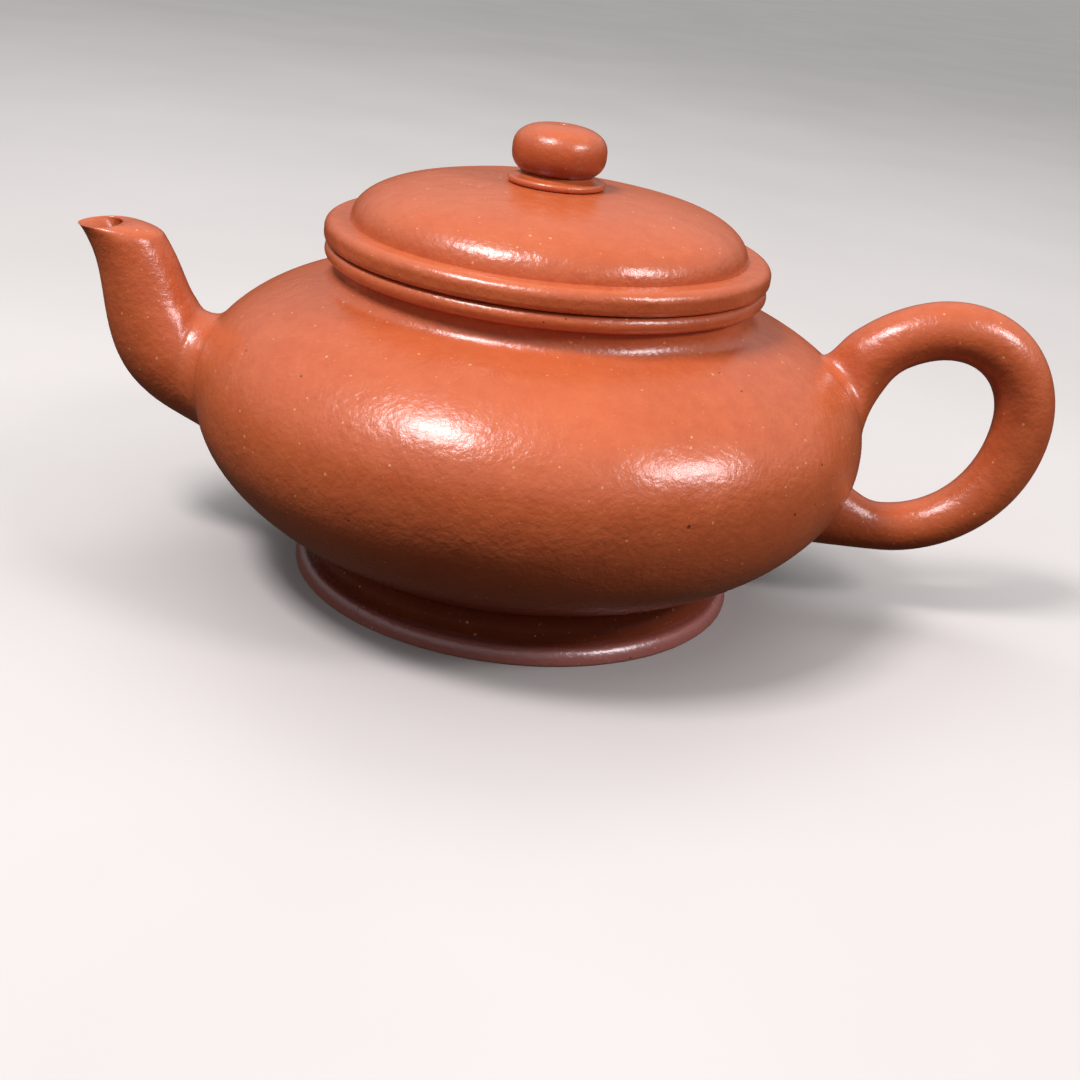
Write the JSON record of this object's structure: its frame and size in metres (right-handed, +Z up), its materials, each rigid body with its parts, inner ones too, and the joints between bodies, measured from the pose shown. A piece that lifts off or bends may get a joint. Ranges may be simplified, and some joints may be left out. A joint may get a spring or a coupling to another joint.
{
  "type": "clay teapot",
  "caption": "Round hand-built clay teapot with a curved spout, an ear-shaped handle, and a domed press lid that lifts off and turns in the mouth.",
  "frame": {"origin": "middle of the foot's resting plane, on the axis of the pot", "axes": "+Z up along the axis of the pot, spout towards -X, handle towards +X"},
  "size_m": [0.1475, 0.0994, 0.0684],
  "materials": {
    "body_clay": "unglazed orange-red stoneware, burnished to a satin sheen",
    "lid_clay": "unglazed orange-red stoneware, burnished to a satin sheen",
    "foot_clay": "unglazed stoneware, fired darker and browner at the foot"
  },
  "bodies": {
    "pot": {"foot_ring": "foot_clay", "base_disc": "foot_clay", "belly_wall": "body_clay", "shoulder_disc": "body_clay", "neck_ring": "body_clay", "mouth_rim": "body_clay", "spout": "body_clay", "spout_strainer": "body_clay", "handle": "body_clay"},
    "lid_collar": {"lid_collar": "lid_clay"},
    "lid": {"lid_plate": "lid_clay", "lid_dome": "lid_clay", "knob_pad": "lid_clay", "knob": "lid_clay"}
  },
  "joints": [
    {"name": "lid_lift", "type": "slide", "parent": "pot", "child": "lid_collar", "axis": [0, 0, 1], "range_m": [0, 0.06]},
    {"name": "lid_turn", "type": "hinge", "parent": "lid_collar", "child": "lid", "pos_m": [0, 0, 0.0494], "axis": [0, 0, 1], "continuous": true}
  ]
}
